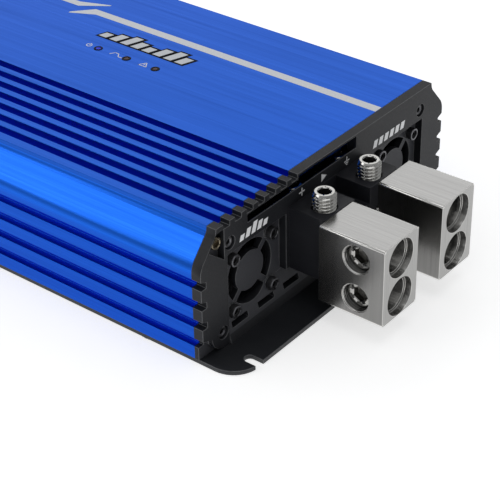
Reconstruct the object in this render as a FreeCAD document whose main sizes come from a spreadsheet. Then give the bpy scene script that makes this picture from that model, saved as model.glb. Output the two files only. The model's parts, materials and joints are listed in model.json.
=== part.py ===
import FreeCAD, Part
import math
import os
import re
import Sketcher

# Car audio amplifier with a ribbed extruded case, two end caps, a folded base plate, clamp
# terminals with twin-cable adapter blocks, two cooling fans and the circuit inside.
# Frame: X along the case (+X is the power-terminal end), Y across (the ribbed side is -Y),
# Z up. Origin: centre of the base plate's underside. All sizes in millimetres.

DIMENSIONS = (
    # case
    ("body_len", 341.0), ("half_w", 82.65), ("body_top", 58.0), ("plate_t", 2.0),
    ("cap_t", 4.6), ("side_wall", 5.65), ("roof_t", 6.5), ("shoulder_y", 9.35),
    ("shoulder_z", 44.4), ("shoulder_lip", 2.8), ("shoulder_r", 8.0), ("shoulder_cove_r", 5.0),
    ("groove_w", 3.82), ("groove_pitch", 7.02), ("groove_depth", 3.75), ("cap_groove_depth", 2.1),
    ("groove_first", -68.67), ("notch_z", 7.95), ("notch_pitch", 9.15), ("notch_mouth", 3.75),
    ("notch_floor", 2.6), ("notch_depth", 3.0),
    # base plate
    ("flange", 17.1), ("plate_corner_r", 12.0), ("slot_w", 4.5), ("slot_y", 69.7),
    ("slot_len", 7.1), ("base_screw_y", 79.8),
    # end cap fixings
    ("cap_top_y", 64.9), ("cap_top_z", 48.1), ("cap_low_y", 70.3), ("cap_low_z", 9.3),
    ("cap_bore_r", 2.9), ("cap_head_r", 2.45), ("cap_screw_r", 1.45), ("channel_r", 1.5),
    ("cap_boss_r", 6.8),
    # fans
    ("fan_y", 49.3), ("fan_z", 25.8), ("fan_size", 30.0), ("fan_depth", 10.0),
    ("fan_pitch", 24.0), ("fan_bore_r", 14.0), ("guard_r", 13.7), ("guard_disc_r", 8.8),
    ("recess_in", 30.35), ("recess_out", 66.65), ("recess_top", 43.4), ("recess_depth", 3.6),
    ("cove_z", 16.0), ("cove_toe", 0.9), ("vent_z", 7.3), ("vent_h", 2.4), ("vent_w", 10.0),
    ("tray_t", 1.8), ("rotor_r", 13.3), ("rotor_hub_r", 7.0),
    # power terminals
    ("house_near", -28.35), ("house_far", 23.15), ("house_low", 17.0), ("house_top", 45.6),
    ("house_out", 17.2), ("valley_near", -7.85), ("valley_far", 2.65), ("valley_z", 38.0),
    ("pos_y", -19.3), ("gnd_y", 11.3), ("bar_w", 14.0), ("bar_low", 22.5), ("bar_high", 42.5),
    ("bar_in", 13.5), ("cable_z", 30.0), ("pin_r", 4.95), ("pin_bore_r", 5.0),
    ("front_screw_r", 4.95), ("rear_screw_r", 3.95), ("front_screw_x", 10.5),
    ("rear_screw_x", -4.9), ("front_screw_top", 52.6), ("rear_screw_top", 50.0),
    ("window_low", 51.7), ("window_high", 55.2), ("window_near", -54.3), ("window_far", 17.0),
    ("brow_high", 57.0), ("label_wall", 0.6), ("label_well_z", 46.0),
    # adapter blocks
    ("block_l", 30.7), ("block_w", 23.25), ("block_low", 10.2), ("block_h", 35.2),
    ("block_edge_r", 1.0), ("pos_block_y", -20.4), ("gnd_block_y", 19.8), ("wire_r", 7.0),
    ("wire_mouth_r", 8.3), ("wire_mouth_depth", 3.0), ("wire_low_z", 8.7), ("wire_pitch", 17.8),
    ("wire_depth", 26.0), ("clamp_x", 17.7), ("clamp_r", 5.95), ("clamp_hole_r", 6.0),
    ("clamp_mouth_r", 6.35), ("clamp_recess", 3.2), ("clamp_len", 6.0),
    # circuit
    ("pcb_z", 7.0), ("pcb_t", 1.6), ("pcb_half_w", 66.0), ("pcb_len", 312.0), ("pcb_x", 4.0),
    # top lights
    ("led_x", 32.0), ("led_pitch", 17.05), ("led_y", 11.8), ("led_r", 1.25), ("bezel_r", 2.0),
)
NAMES = dict(DIMENSIONS)

doc = FreeCAD.newDocument("car_amplifier")
sheet = doc.addObject("Spreadsheet::Sheet", "Dims")
for row, (alias, value) in enumerate(DIMENSIONS, start=1):
    sheet.set("A%d" % row, alias)
    sheet.set("B%d" % row, str(value))
    sheet.setAlias("B%d" % row, alias)
doc.recompute()

AXIS_TURN = {
    "X": FreeCAD.Rotation(FreeCAD.Vector(0, 1, 0), 90),
    "Y": FreeCAD.Rotation(FreeCAD.Vector(1, 0, 0), -90),
    "Z": FreeCAD.Rotation(),
}
parts = []


def bind(obj, prop, value):
    """Bind a property to a formula written with the plain dimension names."""
    formula = re.sub(r"[a-z][a-z_]+", lambda m: "Dims." + m[0] if m[0] in NAMES else m[0], str(value))
    obj.setExpression(prop, formula)


def place(obj, x, y, z, axis="Z"):
    obj.Placement = FreeCAD.Placement(FreeCAD.Vector(), AXIS_TURN[axis])
    for key, value in zip("xyz", (x, y, z)):
        bind(obj, "Placement.Base." + key, value)
    return obj


def box(name, low, size):
    """Box from its low corner and its three lengths."""
    obj = doc.addObject("Part::Box", name)
    for prop, value in zip(("Length", "Width", "Height"), size):
        bind(obj, prop, value)
    return place(obj, *low)


def rod(name, radius, length, start, axis="Z"):
    """Cylinder growing from start along a positive axis."""
    obj = doc.addObject("Part::Cylinder", name)
    bind(obj, "Radius", radius)
    bind(obj, "Height", length)
    return place(obj, *start, axis)


def cone(name, radius_1, radius_2, length, start, axis="Z"):
    obj = doc.addObject("Part::Cone", name)
    bind(obj, "Radius1", radius_1)
    bind(obj, "Radius2", radius_2)
    bind(obj, "Height", length)
    return place(obj, *start, axis)


def hexagon(name, across, length, start, axis="Z"):
    """Hexagonal prism given across its flats."""
    obj = doc.addObject("Part::Prism", name)
    obj.Polygon = 6
    bind(obj, "Circumradius", "(%s) / 1.73205" % across)
    bind(obj, "Height", length)
    return place(obj, *start, axis)


def fuse(name, shapes):
    obj = doc.addObject("Part::MultiFuse", name)
    obj.Shapes = shapes
    return obj


def cut(name, base, tools):
    obj = doc.addObject("Part::Cut", name)
    obj.Base = base
    obj.Tool = tools[0] if len(tools) == 1 else fuse(name + "_tools", tools)
    return obj


def group(name, members):
    """Several identical separate solids kept as one part."""
    obj = doc.addObject("Part::Compound", name)
    obj.Links = members
    return obj


def part(label, obj):
    obj.Label = label
    parts.append(obj)
    return obj


def sketch_on(body, name, role, offset="0"):
    sketch = body.newObject("Sketcher::SketchObject", name)
    plane = next(f for f in body.Origin.OriginFeatures if f.Role == role)
    sketch.AttachmentSupport = [(plane, "")]
    sketch.MapMode = "FlatFace"
    bind(sketch, "AttachmentOffset.Base.z", offset)
    return sketch


def dimension(sketch, kind, geometry, point, value):
    if kind == "Radius":
        index = sketch.addConstraint(Sketcher.Constraint("Radius", geometry, 1.0))
    else:
        index = sketch.addConstraint(Sketcher.Constraint(kind, -1, 1, geometry, point, 1.0))
    bind(sketch, "Constraints[%d]" % index, value)


def polygon(sketch, corners):
    """Closed outline whose every corner is dimensioned from the sketch's origin."""
    count, first = len(corners), sketch.GeometryCount
    start = [FreeCAD.Vector(math.cos(2 * math.pi * i / count), math.sin(2 * math.pi * i / count), 0)
             for i in range(count)]
    for i in range(count):
        sketch.addGeometry(Part.LineSegment(start[i], start[(i + 1) % count]))
    for i in range(count):
        sketch.addConstraint(
            Sketcher.Constraint("Coincident", first + i, 2, first + (i + 1) % count, 1))
    for i, (u, v) in enumerate(corners):
        dimension(sketch, "DistanceX", first + i, 1, u)
        dimension(sketch, "DistanceY", first + i, 1, v)


def circle(sketch, u, v, radius):
    geometry = sketch.addGeometry(
        Part.Circle(FreeCAD.Vector(1, 1, 0), FreeCAD.Vector(0, 0, 1), 1.0))
    dimension(sketch, "Radius", geometry, 3, radius)
    dimension(sketch, "DistanceX", geometry, 3, u)
    dimension(sketch, "DistanceY", geometry, 3, v)


def rectangle(u0, v0, u1, v1):
    return [(u0, v0), (u1, v0), (u1, v1), (u0, v1)]


def pad(body, sketch, length):
    feature = body.newObject("PartDesign::Pad", sketch.Name + "_pad")
    feature.Profile = sketch
    bind(feature, "Length", length)
    return feature


def edges_along(feature, direction, wanted=lambda edge: True):
    """Names of a feature's straight edges that run along one axis."""
    names = []
    for number, edge in enumerate(feature.Shape.Edges, start=1):
        if edge.Curve.TypeId != "Part::GeomLine":
            continue
        run = edge.Curve.Direction
        if abs(run.dot(direction)) > 0.999 and wanted(edge):
            names.append("Edge%d" % number)
    return names


def fillet(body, feature, names, radius):
    doc.recompute()
    rounded = body.newObject("PartDesign::Fillet", feature.Name + "_round")
    rounded.Base = (feature, names(feature))
    bind(rounded, "Radius", radius)
    return rounded


# ---------------------------------------------------------------- case

def side_corners():
    """Near side of the case from the foot up to the roof: four undercut slots, then the shoulder."""
    corners = [("-half_w", "plate_t")]
    for i in range(4):
        foot = "notch_z + %d * notch_pitch" % i
        corners += [("-half_w", foot), ("-half_w + notch_depth", foot),
                    ("-half_w + notch_depth", foot + " + notch_floor"),
                    ("-half_w", foot + " + notch_mouth")]
    return corners + [("-half_w", "shoulder_z"), ("-half_w + shoulder_y", "body_top - shoulder_lip"),
                      ("-half_w + shoulder_y + 0.35", "body_top")]


def outline(depth):
    """Whole outside of the case section, with the seven roof grooves on the near side only."""
    near = side_corners()
    roof = []
    for i in range(7):
        start = "groove_first + %d * groove_pitch" % i
        roof += [(start, "body_top"), (start, "body_top - " + depth),
                 (start + " + groove_w", "body_top - " + depth), (start + " + groove_w", "body_top")]
    far = [("-(%s)" % y, z) for y, z in reversed(near)]
    return near + roof + far


def round_shoulders(body, blank):
    """Soften both long bends of each shoulder, so that the side runs up to the roof in an S."""
    bend = (NAMES["half_w"], NAMES["shoulder_z"])
    hollow = (NAMES["half_w"] - NAMES["shoulder_y"], NAMES["body_top"] - NAMES["shoulder_lip"])
    for (y, z), radius in ((bend, "shoulder_r"), (hollow, "shoulder_cove_r")):
        def on_bend(edge, y=y, z=z):
            centre = edge.CenterOfMass
            return abs(abs(centre.y) - y) < 0.01 and abs(centre.z - z) < 0.01
        blank = fillet(body, blank, lambda f: edges_along(f, FreeCAD.Vector(1, 0, 0), on_bend), radius)


shell = doc.addObject("PartDesign::Body", "shell_extrusion")
section = sketch_on(shell, "shell_section", "YZ_Plane", "-body_len / 2 + cap_t")
wall, channel = "half_w - side_wall", "cap_top_y - 4.25"
half = [("-(%s)" % wall, "plate_t"), ("-(%s)" % wall, "cap_low_z - 4.5"),
        ("-(%s) + 10" % wall, "cap_low_z - 4.5"), ("-(%s) + 10" % wall, "cap_low_z + 4.5"),
        ("-(%s)" % wall, "cap_low_z + 4.5"), ("-(%s)" % wall, "40.5"), ("-cap_top_y - 4.3", "45"),
        ("-(%s)" % channel, "45"), ("-(%s)" % channel, "body_top - roof_t")]
polygon(section, outline("groove_depth") + [("-(%s)" % y, z) for y, z in half] + list(reversed(half)))
for side in ("-", ""):
    circle(section, side + "cap_top_y", "cap_top_z", "channel_r")
    circle(section, side + "cap_low_y", "cap_low_z", "channel_r")
round_shoulders(shell, pad(shell, section, "body_len - 2 * cap_t"))
led_holes = [rod("led_hole_%d" % i, "bezel_r", "9", ("led_x + %d * led_pitch" % i, "led_y",
             "body_top - 8")) for i in range(3)]
base_taps = [rod("base_tap_%d%d" % (x, s), "1.3", "5", (x, "%d * base_screw_y" % s, "plate_t"))
             for x in (-140, -47, 47, 140) for s in (-1, 1)]
part("heatsink_shell", cut("shell_drilled", shell, led_holes + base_taps))

plate = doc.addObject("PartDesign::Body", "plate_body")
sheet_outline = sketch_on(plate, "plate_outline", "XY_Plane")
polygon(sheet_outline, rectangle("-body_len / 2 - flange", "-half_w + 0.3",
                                 "body_len / 2 + flange", "half_w - 0.3"))
sheet_pad = pad(plate, sheet_outline, "plate_t")
fillet(plate, sheet_pad, lambda f: edges_along(f, FreeCAD.Vector(0, 0, 1)), "plate_corner_r")
slots, slot_root = [], "body_len / 2 + flange - slot_len + slot_w / 2"
for end in (-1, 1):
    for side in (-1, 1):
        name = "slot_%d_%d" % (end, side)
        slots.append(rod(name + "_end", "slot_w / 2", "6",
                         ("%d * (%s)" % (end, slot_root), "%d * slot_y" % side, "-2")))
        low_x = slot_root if end > 0 else "-body_len / 2 - flange - 1"
        slots.append(box(name, (low_x, "%d * slot_y - slot_w / 2" % side, "-2"),
                         ("slot_len - slot_w / 2 + 1", "slot_w", "6")))
plate_holes = []
for x in (-140, -47, 47, 140):
    for side in (-1, 1):
        centre = (x, "%d * base_screw_y" % side)
        name = "plate_hole_%d_%d" % (x, side)
        plate_holes.append(cone(name, "2.7", "1.6", "1.2", centre + ("0",)))
        plate_holes.append(rod(name + "_through", "1.6", "4", centre + ("-1",)))
STANDOFFS = [(x, y) for x in (-140, -45, 50, 145) for y in (-58, 58)]
for x, y in STANDOFFS:
    plate_holes.append(rod("stand_hole_%d_%d" % (x, y), "1.6", "4", (x, y, "-1")))
part("base_plate", cut("plate_cut", plate, slots + plate_holes))

base_screws = []
for x in (-140, -47, 47, 140):
    for side in (-1, 1):
        centre, name = (x, "%d * base_screw_y" % side), "base_screw_%d_%d" % (x, side)
        screw = fuse(name, [cone(name + "_head", "2.65", "1.5", "1.2", centre + ("0",)),
                            rod(name + "_shank", "1.25", "6.4", centre + ("0",))])
        base_screws.append(cut(name + "_cut", screw, [hexagon(name + "_hex", "2", "1", centre + ("-0.2",))]))
part("base_screws", group("base_screw_set", base_screws))

# ---------------------------------------------------------------- end caps


def cap_body(name, offset):
    """End cap blank with the case's section, so that ribs and slots run on through it."""
    body = doc.addObject("PartDesign::Body", name)
    sketch = sketch_on(body, name + "_section", "YZ_Plane", offset)
    polygon(sketch, outline("cap_groove_depth"))
    round_shoulders(body, pad(body, sketch, "cap_t"))
    return body


def cap_bores(name, end):
    """Counterbores and through holes for the four corner screws of one cap."""
    tools = []
    face = "body_len / 2"
    for side in (-1, 1):
        for y, z, tag in (("cap_top_y", "cap_top_z", "top"), ("cap_low_y", "cap_low_z", "low")):
            centre = ("%d * %s" % (side, y), z)
            label = "%s_%s_%d" % (name, tag, side)
            sink = face + " - 3.4" if end > 0 else "-%s - 1" % face
            through = face + " - 8" if end > 0 else "-%s - 1" % face
            tools.append(rod(label + "_sink", "cap_bore_r", "4.4", (sink,) + centre, "X"))
            tools.append(rod(label + "_hole", "cap_screw_r + 0.2", "9", (through,) + centre, "X"))
    return tools


def corner_relief(name, end):
    """Lower outer corners set back around the rounded boss of the bottom screw."""
    tools = []
    for side in (-1, 1):
        low_y = "-half_w - 1" if side < 0 else "cap_low_y"
        low_x = "body_len / 2 - 2.5" if end > 0 else "-body_len / 2 - 1"
        block = box("%s_relief_%d" % (name, side), (low_x, low_y, "plate_t - 1"),
                    ("3.5", "half_w - cap_low_y + 1", "cap_low_z - plate_t + 1"))
        boss = rod("%s_boss_%d" % (name, side), "cap_boss_r", "6",
                   (low_x, "%d * cap_low_y" % side, "cap_low_z"), "X")
        tools.append(cut("%s_lip_%d" % (name, side), block, [boss]))
    return tools


def corner_pocket():
    """Four-sided pocket beside the near top screw of the terminal cap, following the shoulder."""
    body = doc.addObject("PartDesign::Body", "terminal_pocket")
    sketch = sketch_on(body, "terminal_pocket_outline", "YZ_Plane", "body_len / 2 - recess_depth")
    corners = [("5.2", "49.7"), ("9.9", "55.9"), ("14.2", "55.9"), ("14.2", "42.3")]
    polygon(sketch, [("-half_w + " + y, z) for y, z in corners])
    pad(body, sketch, "cap_t")
    return body


FAN_CORNERS = [(a, b) for a in (-1, 1) for b in (-1, 1)]


def fan_corner(side, a, b):
    """Y and Z of one of a fan's four screws."""
    return "%d * fan_y + %d * fan_pitch / 2" % (side, a), "fan_z + %d * fan_pitch / 2" % b


face, floor = "body_len / 2", "body_len / 2 - recess_depth"
blank = cap_body("terminal_cap_blank", "body_len / 2 - cap_t")
tray = box("terminal_tray", (face + " - cap_t - tray_t", "-recess_out + 0.05", "plate_t + 0.2"),
           ("tray_t", "2 * recess_out - 0.1", "42.4"))
recess_boxes = [
    box("recess_near", (floor, "-recess_out", "plate_t - 1"),
        ("cap_t", "recess_out - recess_in", "recess_top - plate_t + 1")),
    box("recess_far", (floor, "recess_in", "plate_t - 1"),
        ("cap_t", "recess_out - recess_in", "recess_top - plate_t + 1")),
    box("recess_low", (floor, "-recess_out", "plate_t - 1"),
        ("cap_t", "2 * recess_out", "house_low - plate_t + 1"))]
cove = doc.addObject("Part::Wedge", "cove")
for prop, value in (("Xmin", "0"), ("Xmax", "recess_depth + cove_toe"), ("X2min", "0"), ("X2max", "0.01"),
                    ("Zmin", "0"), ("Zmax", "2 * recess_out"), ("Z2min", "0"), ("Z2max", "2 * recess_out"),
                    ("Ymin", "0"), ("Ymax", "cove_z - plate_t")):
    bind(cove, prop, value)
cove.Placement = FreeCAD.Placement(FreeCAD.Vector(), FreeCAD.Rotation(FreeCAD.Vector(1, 0, 0), 90))
for key, value in zip("xyz", (floor, "recess_out", "plate_t")):
    bind(cove, "Placement.Base." + key, value)
recess = cut("recess", fuse("recess_blank", recess_boxes), [cove])
pads, fan_holes, head_wells = [], [], []
for s in (-1, 1):
    for a, b in FAN_CORNERS:
        tag, centre = "%d_%d_%d" % (s, a, b), fan_corner(s, a, b)
        pads.append(rod("fan_pad_" + tag, "2.9", "0.6", (floor,) + centre, "X"))
        fan_holes.append(rod("fan_hole_" + tag, "1.6", "20", (face + " - 15",) + centre, "X"))
        head_wells.append(rod("head_well_" + tag, "3.1", "8", (floor + " + 0.6",) + centre, "X"))
guards = []
for s in (-1, 1):
    centre = ("%d * fan_y" % s, "fan_z")
    ring = rod("guard_ring_%d" % s, "guard_r", "20", (face + " - 15",) + centre, "X")
    disc = rod("guard_disc_%d" % s, "guard_disc_r", "20", (face + " - 15",) + centre, "X")
    arms = []
    for k in (1, 3):
        arm = doc.addObject("Part::Box", "guard_arm_%d_%d" % (s, k))
        for prop, value in zip(("Length", "Width", "Height"), ("20", "2 * guard_r + 4", "2.6")):
            bind(arm, prop, value)
        turn = FreeCAD.Rotation(FreeCAD.Vector(1, 0, 0), 45 * k)
        corner = turn.multVec(FreeCAD.Vector(0, -NAMES["guard_r"] - 2, -1.3))
        arm.Placement = FreeCAD.Placement(FreeCAD.Vector(), turn)
        for key, value in zip("xyz", (face + " - 15", centre[0] + " + (%.4f)" % corner.y,
                                      centre[1] + " + (%.4f)" % corner.z)):
            bind(arm, "Placement.Base." + key, value)
        arms.append(arm)
    guards.append(cut("guard_%d" % s, ring, [disc] + arms))
vent_slots = [box("vent_%d" % i, (face + " - 12", y, "vent_z"), ("14", "vent_w", "vent_h"))
              for i, y in enumerate((-63.7, -47.1, -30.6, 20.6, 37.1, 53.7))]
opening = box("terminal_opening", (face + " - 12", "house_near", "house_low"),
              ("14", "house_far - house_near", "house_top - house_low"))
cap_back = face + " - cap_t - 1"
well = box("terminal_well", (cap_back, "house_near", "house_top - 1"),
           ("cap_t + 1 - label_wall", "window_far - house_near", "window_low - house_top + 2"))
label_well = box("label_well", (cap_back, "window_near", "label_well_z"),
                 ("cap_t + 1 - label_wall", "house_near - window_near + 1", "window_low - label_well_z + 1"))
window = box("terminal_window", (cap_back, "window_near", "window_low"),
             ("cap_t + 3", "window_far - window_near", "window_high - window_low"))
brow_near = "groove_first + 6 * groove_pitch + groove_w + 0.8"
brow = box("terminal_brow", (cap_back, brow_near, "window_low"),
           ("cap_t + 3", "window_far - (%s)" % brow_near, "brow_high - window_low"))
terminal_blank = cut("terminal_cap_recessed", fuse("terminal_cap_solid", [blank, tray]), [recess])
terminal_tools = guards + fan_holes + head_wells + vent_slots
terminal_tools += [opening, well, label_well, window, brow, corner_pocket()]
terminal_tools += cap_bores("terminal_bore", 1) + corner_relief("terminal", 1)
terminal_solid = fuse("terminal_cap_padded", [terminal_blank, cove] + pads)
part("terminal_end_cap", cut("terminal_cap_cut", terminal_solid, terminal_tools))

cap_screws = []
for end in (-1, 1):
    for side in (-1, 1):
        for y, z, tag in (("cap_top_y", "cap_top_z", "top"), ("cap_low_y", "cap_low_z", "low")):
            name = "cap_screw_%d_%d_%s" % (end, side, tag)
            centre = ("%d * %s" % (side, y), z)
            if end > 0:
                head, shank, key = face + " - 3.4", face + " - 18", face + " - 2.4"
            else:
                head, shank, key = "-%s + 0.8" % face, "-%s + 2" % face, "-%s" % face
            screw = fuse(name, [rod(name + "_head", "cap_head_r", "2.6", (head,) + centre, "X"),
                                rod(name + "_shank", "cap_screw_r", "16", (shank,) + centre, "X")])
            cap_screws.append(cut(name + "_cut", screw,
                                  [hexagon(name + "_hex", "2", "2.4", (key,) + centre, "X")]))
part("end_cap_screws", group("end_cap_screw_set", cap_screws))

insert_centre = ("-half_w + 11.4", "50.4")
insert = rod("insert_blank", "2.6", "2.4", (floor,) + insert_centre, "X")
insert_key = hexagon("insert_key", "3", "2", (face + " - 2.4",) + insert_centre, "X")
part("corner_insert", cut("insert_cut", insert, [insert_key]))

# ---------------------------------------------------------------- fans

for tag, s in (("near", -1), ("far", 1)):
    back = face + " - cap_t - tray_t - fan_depth"
    centre_y = "%d * fan_y" % s
    frame_body = doc.addObject("PartDesign::Body", "fan_frame_" + tag + "_body")
    frame_sketch = sketch_on(frame_body, "fan_section_" + tag, "YZ_Plane")
    polygon(frame_sketch, rectangle("-fan_size / 2", "-fan_size / 2", "fan_size / 2", "fan_size / 2"))
    circle(frame_sketch, "0", "0", "fan_bore_r")
    for a, b in FAN_CORNERS:
        circle(frame_sketch, "%d * fan_pitch / 2" % a, "%d * fan_pitch / 2" % b, "1.5")
    pad(frame_body, frame_sketch, "fan_depth")
    place(frame_body, back, centre_y, "fan_z")
    spokes = [box("fan_spoke_%s_%d" % (tag, k), (back, centre_y + " - (%s)" % dy, "fan_z - (%s)" % dz),
                  ("1.6", "2 * (%s)" % dy, "2 * (%s)" % dz))
              for k, (dy, dz) in enumerate((("fan_bore_r + 0.4", "0.9"), ("0.9", "fan_bore_r + 0.4")))]
    motor = rod("fan_motor_" + tag, "rotor_hub_r + 0.4", "2", (back, centre_y, "fan_z"), "X")
    part("fan_frame_" + tag, fuse("fan_frame_%s_solid" % tag, [frame_body, motor] + spokes))

    rotor = doc.addObject("PartDesign::Body", "fan_rotor_" + tag)
    hub = sketch_on(rotor, "rotor_hub_" + tag, "YZ_Plane")
    circle(hub, "0", "0", "rotor_hub_r")
    pad(rotor, hub, "fan_depth - 3")
    blade = sketch_on(rotor, "rotor_blade_" + tag, "XY_Plane", "rotor_hub_r - 1")
    polygon(blade, [("0.4", "-2.9"), ("1.3", "-2.9"), ("6.6", "2.9"), ("5.7", "2.9")])
    blade_pad = pad(rotor, blade, "rotor_r - rotor_hub_r + 1 - 0.4")
    spin = rotor.newObject("PartDesign::PolarPattern", "rotor_pattern_" + tag)
    spin.Originals = [blade_pad]
    spin.Axis = (next(f for f in rotor.Origin.OriginFeatures if f.Role == "X_Axis"), [""])
    spin.Angle = 360
    spin.Occurrences = 7
    rotor.Tip = spin
    place(rotor, back + " + 2.4", centre_y, "fan_z")
    part("fan_rotor_" + tag, rotor)

fan_screws = []
for s in (-1, 1):
    for a, b in FAN_CORNERS:
        name = "fan_screw_%d_%d_%d" % (s, a, b)
        centre = fan_corner(s, a, b)
        head = rod(name + "_head", "2.7", "recess_depth - 0.8", (floor + " + 0.6",) + centre, "X")
        shank = rod(name + "_shank", "1.45", "14", (floor + " - 13",) + centre, "X")
        screw = fuse(name, [head, shank])
        fan_screws.append(cut(name + "_cut", screw,
                              [hexagon(name + "_hex", "2.5", "2.2", (face + " - 2",) + centre, "X")]))
part("fan_screws", group("fan_screw_set", fan_screws))

# ---------------------------------------------------------------- power terminals

house = doc.addObject("PartDesign::Body", "terminal_house")
house_sketch = sketch_on(house, "house_outline", "XY_Plane", "house_low")
polygon(house_sketch, rectangle("body_len / 2 - cap_t", "house_near",
                                "body_len / 2 + house_out", "house_far"))
house_pad = pad(house, house_sketch, "house_top - house_low")
fillet(house, house_pad,
       lambda f: edges_along(f, FreeCAD.Vector(0, 0, 1), lambda e: e.CenterOfMass.x > 171), "2.5")
valley = box("remote_valley", (face, "valley_near", "valley_z"),
             ("house_out + 1", "valley_far - valley_near", "house_top - valley_z + 1"))
house_tools = [valley]
TERMINALS = (("positive", "pos_y"), ("ground", "gnd_y"))
SET_SCREWS = (("front", "front_screw_x", "front_screw_r", "front_screw_top", "5"),
              ("rear", "rear_screw_x", "rear_screw_r", "rear_screw_top", "4"))
for name, y in TERMINALS:
    cavity_low = (face + " - cap_t - 1", "%s - bar_w / 2 - 0.2" % y, "bar_low - 0.2")
    house_tools.append(box(name + "_cavity", cavity_low,
                           ("cap_t + 1 + house_out - 1.5", "bar_w + 0.4", "bar_high - bar_low + 0.4")))
    house_tools.append(rod(name + "_entry", "5.6", "4", (face + " + house_out - 2", y, "cable_z"), "X"))
    for tag, x, radius, top, across in SET_SCREWS:
        house_tools.append(rod("%s_%s_hole" % (name, tag), radius + " + 0.35", "5",
                               (face + " + (%s)" % x, y, "house_top - 4")))
house_tools.append(rod("remote_entry", "1.7", "14", (face + " + house_out - 13", "-2.6", "31"), "X"))
house_tools.append(rod("remote_screw_hole", "1.7", "8", (face + " + 9", "-2.6", "31"), "Z"))
remote_pocket = box("remote_pocket", (face + " - cap_t - 1", "-6.2", "27.4"), ("19", "7.2", "7.2"))
part("power_terminal_housing", cut("terminal_house_cut", house, house_tools + [remote_pocket]))

for name, y in TERMINALS:
    start = face + " - bar_in"
    bar = box(name + "_bar_blank", (start, "%s - bar_w / 2" % y, "bar_low"),
              ("bar_in + house_out - 1.6", "bar_w", "bar_high - bar_low"))
    foot = box(name + "_bar_foot", (start, "%s - bar_w / 2" % y, "pcb_z + pcb_t"),
               ("4", "bar_w", "bar_low - pcb_z - pcb_t + 1"))
    tools = [rod(name + "_pin_bore", "pin_bore_r", "bar_in + house_out",
                 (start + " + 3", y, "cable_z"), "X")]
    for tag, x, radius, top, across in SET_SCREWS:
        tools.append(rod("%s_%s_thread" % (name, tag), radius + " + 0.05", "bar_high - cable_z + 1",
                         (face + " + (%s)" % x, y, "cable_z")))
    part(name + "_terminal_bar", cut(name + "_bar_cut", fuse(name + "_bar_solid", [bar, foot]), tools))
    for tag, x, radius, top, across in SET_SCREWS:
        centre = (face + " + (%s)" % x, y)
        screw = rod("%s_%s_blank" % (name, tag), radius, "%s - cable_z - pin_r - 0.3" % top,
                    centre + ("cable_z + pin_r + 0.3",))
        key = hexagon("%s_%s_hex" % (name, tag), across, "6.5", centre + (top + " - 5.5",))
        part("%s_%s_set_screw" % (name, tag), cut("%s_%s_screw_cut" % (name, tag), screw, [key]))

remote_bar = box("remote_bar", (face + " - 10", "-5.8", "27.8"), ("22.6", "6.4", "6.4"))
remote_foot = box("remote_foot", (face + " - 10", "-4.6", "pcb_z + pcb_t"),
                  ("1.2", "4", "28 - pcb_z - pcb_t"))
part("remote_terminal", cut("remote_cut", fuse("remote_solid", [remote_bar, remote_foot]),
                            [rod("remote_wire_bore", "1.6", "12", (face + " + 3", "-2.6", "31"), "X"),
                             rod("remote_thread", "1.55", "5", (face + " + 9", "-2.6", "31"))]))
remote_screw = rod("remote_screw_blank", "1.5", "5.7", (face + " + 9", "-2.6", "32.7"))
remote_slot = box("remote_screw_slot", (face + " + 7", "-2.9", "37.6"), ("4", "0.6", "1.2"))
part("remote_screw", cut("remote_screw_cut", remote_screw, [remote_slot]))

# ---------------------------------------------------------------- twin-cable adapter blocks

rear = "body_len / 2 + house_out"
BLOCKS = (("positive", "pos_y", "pos_block_y", -1), ("ground", "gnd_y", "gnd_block_y", 1))
for name, pin_y, block_y, side in BLOCKS:
    block = doc.addObject("PartDesign::Body", name + "_block")
    sketch = sketch_on(block, name + "_block_outline", "YZ_Plane", rear)
    polygon(sketch, rectangle("%s - block_w / 2" % block_y, "block_low", "%s + block_w / 2" % block_y,
                              "block_low + block_h"))
    blank = pad(block, sketch, "block_l")
    fillet(block, blank, lambda f: edges_along(f, FreeCAD.Vector(1, 0, 0)), "block_edge_r")
    pin = rod(name + "_pin", "pin_r", "21.5", (rear + " - 21", pin_y, "cable_z"), "X")
    tools = []
    for k, level in enumerate(("lower", "upper")):
        z = "block_low + wire_low_z + %d * wire_pitch" % k
        tools.append(rod("%s_%s_wire" % (name, level), "wire_r", "wire_depth + 1",
                         (rear + " + block_l - wire_depth", block_y, z), "X"))
        tools.append(rod("%s_%s_mouth" % (name, level), "wire_mouth_r", "wire_mouth_depth + 1",
                         (rear + " + block_l - wire_mouth_depth", block_y, z), "X"))
        centre_x = rear + " + clamp_x"
        if side < 0:
            hole_y, mouth_y = "%s - block_w / 2 - 1" % block_y, "%s - block_w / 2 - 0.4" % block_y
            tip_y = "%s - block_w / 2 + clamp_recess" % block_y
            key_y = tip_y + " - 1"
        else:
            hole_y, mouth_y = block_y, "%s + block_w / 2 - 0.4" % block_y
            tip_y = "%s + block_w / 2 - clamp_recess - clamp_len" % block_y
            key_y = tip_y + " + clamp_len - 3"
        tools.append(rod("%s_%s_tap" % (name, level), "clamp_hole_r", "block_w / 2 + 1",
                         (centre_x, hole_y, z), "Y"))
        tools.append(rod("%s_%s_chamfer" % (name, level), "clamp_mouth_r", "0.8",
                         (centre_x, mouth_y, z), "Y"))
        screw = rod("%s_%s_clamp" % (name, level), "clamp_r", "clamp_len", (centre_x, tip_y, z), "Y")
        key = hexagon("%s_%s_clamp_hex" % (name, level), "6", "4", (centre_x, key_y, z), "Y")
        part("%s_%s_cable_screw" % (name, level),
             cut("%s_%s_clamp_cut" % (name, level), screw, [key]))
    solid = cut(name + "_block_cut", fuse(name + "_block_pin", [block, pin]), tools)
    part(name + "_adapter_block", solid)

# ---------------------------------------------------------------- control end

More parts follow.
